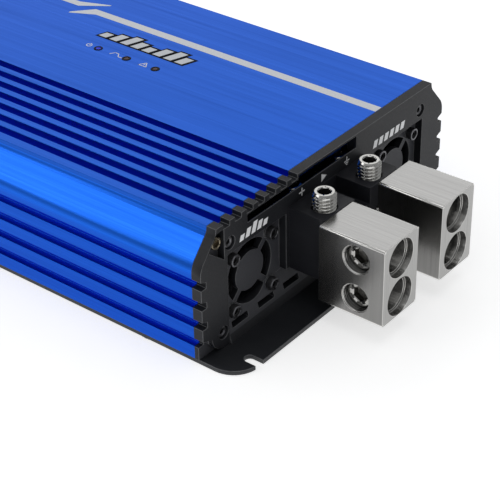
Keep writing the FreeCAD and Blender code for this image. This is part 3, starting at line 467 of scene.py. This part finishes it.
class Shape:
    """Collects points, faces and their material numbers in millimetres, then becomes one piece."""

    def __init__(self):
        self.verts, self.faces, self.paint = [], [], []

    def rings(self, rows, bands=None):
        """Joins closed rings of equal length with quads; bands has a material for each band."""
        count, base = len(rows[0]), len(self.verts)
        for row in rows:
            self.verts.extend(row)
        for r in range(len(rows) - 1):
            for k in range(count):
                a, b = base + r * count + k, base + r * count + (k + 1) % count
                self.faces.append((a, b, b + count, a + count))
                self.paint.append(bands[r] if bands else 0)
        return base

    def fan(self, ring_start, count, tip, paint, flip):
        """Triangles from a ring to one point."""
        self.verts.append(tip)
        end = len(self.verts) - 1
        for k in range(count):
            a, b = ring_start + k, ring_start + (k + 1) % count
            self.faces.append((b, a, end) if flip else (a, b, end))
            self.paint.append(paint)

    def turned(self, rows, tips, bands=None):
        """Rings closed at each end by a fan to a point on the axis."""
        count, base = len(rows[0]), self.rings(rows, bands)
        first, last = (bands[0], bands[-1]) if bands else (0, 0)
        self.fan(base, count, tips[0], first, True)
        self.fan(base + (len(rows) - 1) * count, count, tips[1], last, False)

    def capped(self, rows):
        """Rings closed at each end by one flat face."""
        count, base = len(rows[0]), self.rings(rows)
        last = base + (len(rows) - 1) * count
        self.faces.append(tuple(base + k for k in reversed(range(count))))
        self.faces.append(tuple(last + k for k in range(count)))
        self.paint += [0, 0]

    def prism(self, outline, low, high, lift):
        """Slab over a counter-clockwise list of 2-D points; lift maps (u, v, w) to 3-D."""
        self.capped([[lift(u, v, level) for u, v in outline] for level in (low, high)])

    def piece(self, name, materials, body="chassis", slot=None, replaces=(), smooth=35):
        """Builds the object, puts it on its body and hides the frame nodes it stands in for."""
        mesh = bpy.data.meshes.new(name)
        mesh.from_pydata([Vector(v) * MM for v in self.verts], [], self.faces)
        for material in materials:
            mesh.materials.append(material)
        mesh.polygons.foreach_set("material_index", self.paint)
        mesh.validate()
        mesh.shade_smooth()
        mesh.set_sharp_from_angle(angle=math.radians(smooth))
        made = bpy.data.objects.new(name, mesh)
        bpy.context.scene.collection.objects.link(made)
        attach(made, body)
        if replaces:
            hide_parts(*replaces)


def placed(u, v, w, axis, centre):
    """Point at (u, v) across an axis and w along it, from a centre."""
    return tuple(c + p for c, p in zip(centre, AXES[axis](u, v, w)))


def circle_ring(radius, height, count, axis, centre):
    """One ring; radius may be a number or a function of the angle."""
    ring = []
    for k in range(count):
        turn = 2 * math.pi * k / count
        r = radius(turn) if callable(radius) else radius
        ring.append(placed(r * math.cos(turn), r * math.sin(turn), height, axis, centre))
    return ring


def lathe(shape, profile, count, axis, centre, bands=None):
    """Turned solid from (radius, height) pairs along an axis from a centre."""
    rows = [circle_ring(r, h, count, axis, centre) for r, h in profile]
    tips = [placed(0, 0, profile[end][1], axis, centre) for end in (0, -1)]
    shape.turned(rows, tips, bands)


def hexagonal(across):
    """Radius of a hexagon, given across its flats, as a function of the angle."""
    def radius(turn):
        return across / 2 / math.cos((turn + math.pi / 6) % (math.pi / 3) - math.pi / 6)
    return radius


def threaded(radius, depth, pitch, height, limit):
    """Radius of a helical thread at one height, cut off by limit for the chamfers."""
    def at(turn):
        phase = ((height - pitch * turn / (2 * math.pi)) / pitch) % 1.0
        crest = min(max((abs(2 * phase - 1) - 0.14) / 0.72, 0.0), 1.0)
        return min(radius - depth + depth * crest, limit)
    return at


# ------------------------------------------------------------------ terminal and cable screws

FRONT_SCREW = {"radius": 4.95, "low": 35.25, "high": 52.6, "pitch": 1.5,
               "chamfer": (0.95, 1.2), "hex_across": 5.0, "hex_depth": 5.5}
REAR_SCREW = {"radius": 3.95, "low": 35.25, "high": 50.0, "pitch": 1.25,
              "chamfer": (0.6, 0.8), "hex_across": 4.0, "hex_depth": 5.0}
SPEAKER_SCREW = {"radius": 3.9, "low": 20.3, "high": 26.8, "pitch": 1.25,
                 "chamfer": (0.5, 0.6), "hex_across": 4.0, "hex_depth": 3.0}
CABLE_SCREW_TOP = BLOCK_HALF - CABLE_SCREW_RECESS
CABLE_SCREW = {"radius": 5.95, "low": CABLE_SCREW_TOP - 6.0, "high": CABLE_SCREW_TOP,
               "pitch": TAP_PITCH, "chamfer": (0.6, 0.6), "hex_across": 6.0, "hex_depth": 3.0}


def set_screw(name, body, axis, centre, radius, low, high, pitch, chamfer, hex_across, hex_depth):
    """Threaded screw without a head; chamfer is its bevel's width and height at the socket."""
    count, steps, depth = 96, 12, pitch * 0.52
    width, fall = chamfer
    rows = []
    for step in range(int((high - low) / pitch * steps) + 1):
        h = min(low + step * pitch / steps, high)
        top = width * max(0.0, 1.0 - (high - h) / fall)
        foot = depth * max(0.0, 1.0 - (h - low) / depth)
        thread = threaded(radius, depth, pitch, h, radius - top - foot)
        rows.append(circle_ring(thread, h, count, axis, centre))
    mouth, floor = hex_across / math.sqrt(3) + 0.12, high - hex_depth
    for r, h in ((radius - width, high), (mouth, high),
                 (hexagonal(hex_across), high - 0.35), (hexagonal(hex_across), floor)):
        rows.append(circle_ring(r, h, count, axis, centre))
    tips = [placed(0, 0, h, axis, centre) for h in (low, floor - 0.7)]
    shape = Shape()
    # The socket's walls and floor get the darker steel, painted shade.
    shape.turned(rows, tips, [0] * (len(rows) - 2) + [1])
    shape.piece(name, [MATERIALS["bright_screw"], STEEL_SOCKET_SHADE], body, "bright_screw", [body])


for terminal, y in TERMINAL_Y.items():
    set_screw(terminal + "_front_screw_threaded", terminal + "_front_set_screw", "Z",
              (FRONT_SCREW_X, y, 0), **FRONT_SCREW)
    set_screw(terminal + "_rear_screw_threaded", terminal + "_rear_set_screw", "Z",
              (REAR_SCREW_X, y, 0), **REAR_SCREW)
    outward = "-Y" if terminal == "positive" else "Y"
    for level, z in CABLE_Z.items():
        cable_screw = terminal + "_" + level + "_cable_screw"
        set_screw(cable_screw + "_threaded", cable_screw, outward,
                  (CABLE_X, BLOCK_Y[terminal], z), **CABLE_SCREW)
for speaker, y in SPEAKER_SCREW_Y.items():
    set_screw(speaker + "_screw_threaded", speaker + "_screw", "Z",
              (SPEAKER_SCREW_X, y, 0), **SPEAKER_SCREW)

# ------------------------------------------------------------------ cap, fan and insert screws

CAP_HEAD_RADIUS, CAP_HEAD_BACK, CAP_HEAD_FRONT, CAP_HEAD_RIM = 2.45, 167.1, 169.7, 0.45
CAP_HEX, CAP_HEX_DEPTH = 2.0, 1.3
SHANK_RADIUS, CAP_SHANK_TIP = 1.45, 152.5
FAN_HEAD_BACK, FAN_HEAD_FRONT, FAN_SHANK_TIP, FAN_HEX = 167.5, 170.3, 153.9, 2.5
INSERT_RADIUS, INSERT_BACK, INSERT_LENGTH, INSERT_HEX = 2.6, 166.9, 2.4, 3.0
# Head materials: plain black, the rim's wear and painted highlight, the socket's painted shade.
HEAD_MATERIALS = [MATERIALS["black_screw"], RIM_WEAR_AND_HIGHLIGHT, SOCKET_SHADE]


def cap_screw(shape, axis, centre):
    """Cylinder head with a rounded rim, painted lighter as light wear and a painted highlight, and
    a hexagon socket, on a plain shank.
    """
    radius, front, rim = CAP_HEAD_RADIUS, CAP_HEAD_FRONT, CAP_HEAD_RIM
    mouth, floor = CAP_HEX / math.sqrt(3) + 0.15, front - CAP_HEX_DEPTH
    profile = [(radius, CAP_HEAD_BACK), (radius, front - rim),
               (radius - rim * 0.3, front - rim * 0.3), (radius - rim, front),
               (mouth + 0.25, front), (mouth, front - 0.12), (hexagonal(CAP_HEX), front - 0.4),
               (hexagonal(CAP_HEX), floor), (0.3, floor - 0.4)]
    lathe(shape, profile, 48, axis, centre, [0, 0, 1, 0, 1, 1, 2, 2])
    shank = [(SHANK_RADIUS, CAP_SHANK_TIP), (SHANK_RADIUS, CAP_HEAD_BACK)]
    lathe(shape, shank, 24, axis, centre)


def fan_screw(shape, centre):
    """Flat head with a sunken hexagon socket, on a plain shank."""
    front, socket = FAN_HEAD_FRONT, hexagonal(FAN_HEX)
    profile = [(2.7, FAN_HEAD_BACK), (2.7, front - 0.25), (2.6, front - 0.08), (2.4, front),
               (1.95, front), (1.8, front - 0.2), (1.75, front - 0.8), (socket, front - 0.85),
               (socket, front - 1.8), (0.3, front - 2.0)]
    lathe(shape, profile, 48, "X", centre, [0, 1, 1, 1, 1, 2, 0, 2, 2])
    lathe(shape, [(SHANK_RADIUS, FAN_SHANK_TIP), (SHANK_RADIUS, FAN_HEAD_BACK)], 20, "X", centre)


def corner_insert(shape, centre):
    """Short threaded insert with a hexagon socket."""
    count, steps, front = 60, 27, INSERT_BACK + INSERT_LENGTH
    rows = []
    for step in range(steps + 1):
        h = INSERT_BACK + step * INSERT_LENGTH / steps
        thread = threaded(INSERT_RADIUS, 0.32, 0.6, h, INSERT_RADIUS)
        rows.append(circle_ring(thread, h, count, "X", centre))
    for r, h in ((2.2, front), (1.85, front), (hexagonal(INSERT_HEX), front - 0.2),
                 (hexagonal(INSERT_HEX), front - 1.2)):
        rows.append(circle_ring(r, h, count, "X", centre))
    shape.turned(rows, [placed(0, 0, h, "X", centre) for h in (INSERT_BACK, front - 1.3)])


cap_heads = Shape()
for axis in ("X", "-X"):
    for y, z in CAP_SCREWS:
        for side in (-1, 1):
            cap_screw(cap_heads, axis, (0, side * y, z))
cap_heads.piece("end_cap_screw_heads", HEAD_MATERIALS, "chassis", "black_screw",
                ["end_cap_screws"])

fan_heads = Shape()
for fan_side in (-1, 1):
    for across in (-1, 1):
        for up in (-1, 1):
            fan_screw(fan_heads, (0, fan_side * FAN_Y + across * FAN_PITCH / 2,
                                  FAN_Z + up * FAN_PITCH / 2))
fan_heads.piece("fan_screw_heads", HEAD_MATERIALS, "chassis", "black_screw", ["fan_screws"])

insert = Shape()
corner_insert(insert, (0, INSERT_Y, INSERT_Z))
insert.piece("corner_insert_threaded", [INSERT], "chassis", "bright_screw", ["corner_insert"])

# ------------------------------------------------------------------ fan rotors

ROTOR_BACK, ROTOR_FRONT, HUB_RADIUS, BLADE_ROOT, BLADE_TIP = 156.5, 163.5, 7.0, 6.4, 13.2
BLADES, BLADE_HALF_THICK = 7, 0.42


def blade_point(centre_y, start, t, s, side):
    """Point of a blade: t runs from root to tip, s from -1 to 1 along the chord."""
    radius = BLADE_ROOT + (BLADE_TIP - BLADE_ROOT) * t
    turn = start + s * (0.33 - 0.02 * t) + 0.16 * t * t
    bow = 1 - s * s
    x = (ROTOR_BACK + ROTOR_FRONT) / 2 + s * (2.7 - 0.7 * t) + 0.5 * bow
    x += side * BLADE_HALF_THICK * math.sqrt(max(0.04, bow))
    return (x, centre_y + radius * math.cos(turn), FAN_Z + radius * math.sin(turn))


def rotor(name, centre_y):
    """Hub with a rounded nose, and swept, twisted and cambered blades."""
    shape, stations, chords = Shape(), 7, 9
    hub, back, front = HUB_RADIUS, ROTOR_BACK, ROTOR_FRONT
    lathe(shape, [(hub - 0.8, back), (hub, back + 0.4), (hub, front - 1.2),
                  (hub - 0.35, front - 0.35), (hub - 1.2, front), (4.4, front),
                  (4.2, front - 0.3)], 56, "X", (0, centre_y, FAN_Z))
    chord = [2.0 * j / (chords - 1) - 1.0 for j in range(chords)]
    for blade in range(BLADES):
        start = 2 * math.pi * blade / BLADES
        loops = []
        for i in range(stations):
            t = i / (stations - 1)
            loops.append([blade_point(centre_y, start, t, s, 1) for s in chord]
                         + [blade_point(centre_y, start, t, s, -1) for s in reversed(chord)])
        shape.capped(loops)
    shape.piece(name + "_blades", [MATERIALS["fan_plastic"]], name, "fan_plastic", [name], 50)


rotor("fan_rotor_near", -FAN_Y)
rotor("fan_rotor_far", FAN_Y)

# ------------------------------------------------------------------ lights, knobs

LENS_PROFILE = [(1.24, -7.4), (1.24, -0.05), (1.12, 0.05), (0.85, 0.10), (0.45, 0.125),
                (0.1, 0.13)]  # radius, height over the roof
KNOB_BACK, KNOB_FRONT, KNOB_FACE, KNOB_RADIUS = 164.5, 173.4, 173.3, 4.0
KNOB_RIBS, RIB_DEPTH = 30, 0.16


def lens(name, indices, slot_name, node):
    """Low domes in the lights' places, counted from the power light."""
    shape = Shape()
    for i in indices:
        lathe(shape, [(r, ROOF + h) for r, h in LENS_PROFILE], 32, "Z",
              (LIGHT_X + LIGHT_PITCH * i, LIGHT_Y, 0))
    shape.piece(name, [MATERIALS[slot_name]], "chassis", slot_name, [node], 60)


def knob(name, y):
    """Ribbed trim knob and its thin white pointer."""
    def ribbed(turn):
        return KNOB_RADIUS - RIB_DEPTH * (0.5 + 0.5 * math.cos(KNOB_RIBS * turn))

    grip = Shape()
    profile = [(3.6, KNOB_BACK), (ribbed, KNOB_BACK + 0.5), (ribbed, KNOB_FRONT - 0.5),
               (3.75, KNOB_FRONT - 0.15), (3.4, KNOB_FRONT), (3.2, KNOB_FACE), (0.2, KNOB_FACE)]
    lathe(grip, profile, 180, "-X", (0, y, KNOB_Z))
    grip.piece(name + "_grip", [MATERIALS["knob"]], name, "knob", [name], 28)
    pointer = Shape()
    pointer.prism([(-0.35, 0.4), (0.35, 0.4), (0.35, 3.1), (-0.35, 3.1)],
                  KNOB_FACE - 0.2, KNOB_FRONT + 0.02, lambda u, v, w: (-w, y - u, KNOB_Z + v))
    pointer.piece(name + "_pointer", [PRINT_WHITE], name, "knob")


lens("power_lens", (0,), "led_blue", "power_light")
lens("status_lenses", (1, 2), "led_red", "status_lights")
for knob_name, knob_y in KNOB_Y.items():
    knob(knob_name, knob_y)

# ------------------------------------------------------------------ printed stripe, emblem, marks

# How far each print starts below its surface, and how far it stands above
ROOF_PRINT, EMBLEM_BACK, EMBLEM_FRONT = (-0.02, 0.03), (-0.02, 0.028), (-0.01, 0.05)
CAP_PRINT = (-0.02, 0.04)
BAR_HEIGHTS = (4.2, 6.6, 8.6, 6.0, 4.6, 7.4, 9.0, 6.2)
BAR_X, BAR_Y, BAR_PITCH, BAR_LEAN, BAR_BORDER = 22.5, 21.95, 6.5, 0.32, 1.05
STROKE = 0.42


def on_roof(u, v, w):
    return (u, v, ROOF + w)


def on_cap(u, v, w):
    return (CAP_FACE + w, u, v)


def slanted(u, v, width, height, lean):
    """Parallelogram leaning towards +u as it rises."""
    shift = lean * height
    return [(u, v), (u + width, v), (u + width + shift, v + height), (u + shift, v + height)]


def arc_band(cu, cv, inner_radius, outer_radius, start, stop):
    """Band between two radii about (cu, cv); angles in degrees."""
    outer, inner, steps = [], [], 20
    for k in range(steps + 1):
        turn = math.radians(start + (stop - start) * k / steps)
        outer.append((cu + outer_radius * math.cos(turn), cv + outer_radius * math.sin(turn)))
        inner.append((cu + inner_radius * math.cos(turn), cv + inner_radius * math.sin(turn)))
    return outer + inner[::-1]


def bar(u0, v0, u1, v1, width):
    """Straight stroke between two points."""
    du, dv = u1 - u0, v1 - v0
    size = math.hypot(du, dv)
    nu, nv = -dv / size * width / 2, du / size * width / 2
    return [(u0 - nu, v0 - nv), (u1 - nu, v1 - nv), (u1 + nu, v1 + nv), (u0 + nu, v0 + nv)]


stripe = Shape()
stripe.prism([(CASE_END, 41.75), (2.6, 41.75), (-5.6, 32.6), (-5.5, 31.4), (6.6, 37.25),
              (CASE_END, 37.25)], *ROOF_PRINT, on_roof)
stripe.prism([(-CASE_END, 39.6), (-7.0, 39.6), (5.6, 48.2), (5.7, 49.2), (-9.5, 43.6),
              (-CASE_END, 43.6)], *ROOF_PRINT, on_roof)
stripe.piece("roof_stripe", [PRINT_LIGHT])

emblem_outline, emblem_bars = Shape(), Shape()
for i, tall in enumerate(BAR_HEIGHTS):
    u = BAR_X + BAR_PITCH * i
    emblem_outline.prism(slanted(u - BAR_BORDER, BAR_Y - BAR_BORDER, 6.9, tall + 2 * BAR_BORDER,
                                 BAR_LEAN), *EMBLEM_BACK, on_roof)
    emblem_bars.prism(slanted(u + 0.2, BAR_Y, 4.4, tall, BAR_LEAN), *EMBLEM_FRONT, on_roof)
emblem_outline.piece("emblem_outline", [PRINT_BLACK])
emblem_bars.piece("emblem_bars", [PRINT_GREY])

POWER_SYMBOL = [arc_band(26.2, 12.0, 1.05, 1.05 + STROKE, 125, 415),
                bar(26.2, 12.1, 26.2, 13.9, STROKE)]
STEP_SYMBOL = [bar(39.6, 10.9, 41.2, 13.2, STROKE), bar(41.0, 13.2, 43.4, 13.2, STROKE),
               bar(43.2, 13.2, 44.8, 10.9, STROKE), bar(44.6, 10.9, 47.0, 10.9, STROKE)]
WARNING_SYMBOL = [bar(57.2, 10.6, 59.4, 13.9, STROKE), bar(59.4, 13.9, 61.6, 10.6, STROKE),
                  bar(57.0, 10.7, 61.8, 10.7, STROKE), bar(59.4, 11.5, 59.4, 12.7, STROKE)]
light_marks = Shape()
for outline in POWER_SYMBOL + STEP_SYMBOL + WARNING_SYMBOL:
    light_marks.prism(outline, *ROOF_PRINT, on_roof)
light_marks.piece("light_marks", [PRINT_WHITE])

LEFT_BARS = [slanted(-59.5 + 3.6 * i, 45.4, 2.5, tall, 0.35)
             for i, tall in enumerate((2.6, 3.8, 4.8, 3.6, 2.6))]
RIGHT_BARS = [slanted(29.2 + 4.0 * i, 45.4, 2.7, 3.4, 0.3) for i in range(6)]
PLUS_SYMBOL = [bar(-21.8, 48.7, -18.2, 48.7, 0.6), bar(-20.0, 46.9, -20.0, 50.5, 0.6)]
GROUND_SYMBOL = [bar(8.6, 48.6, 12.2, 48.6, 0.5), bar(9.3, 47.7, 11.5, 47.7, 0.5),
                 bar(9.9, 46.9, 10.9, 46.9, 0.45), bar(10.4, 48.6, 10.4, 50.6, 0.5)]
ARROW_SYMBOL = [[(-7.0, 46.9), (-3.6, 48.7), (-7.0, 50.5)]]
cap_marks = Shape()
for outline in LEFT_BARS + RIGHT_BARS + PLUS_SYMBOL + GROUND_SYMBOL + ARROW_SYMBOL:
    cap_marks.prism(outline, *CAP_PRINT, on_cap)
cap_marks.piece("cap_marks", [PRINT_WHITE])

# ------------------------------------------------------------------ floor


def add_floor(half):
    """Pale floor that glows a little, so that it stays even; half its side in metres."""
    mesh = bpy.data.meshes.new("floor")
    corners = [(-half, -half, 0), (half, -half, 0), (half, half, 0), (-half, half, 0)]
    mesh.from_pydata(corners, [], [(0, 1, 2, 3)])
    floor = bpy.data.objects.new("floor", mesh)
    bpy.context.scene.collection.objects.link(floor)
    mesh.materials.append(plain("floor_paper", (0.84, 0.84, 0.84), (0.85, 0.85, 0.85), 0.85, 30,
                                0.0, emission_color=(1, 1, 1, 1), emission_strength=0.55))


add_floor(9)
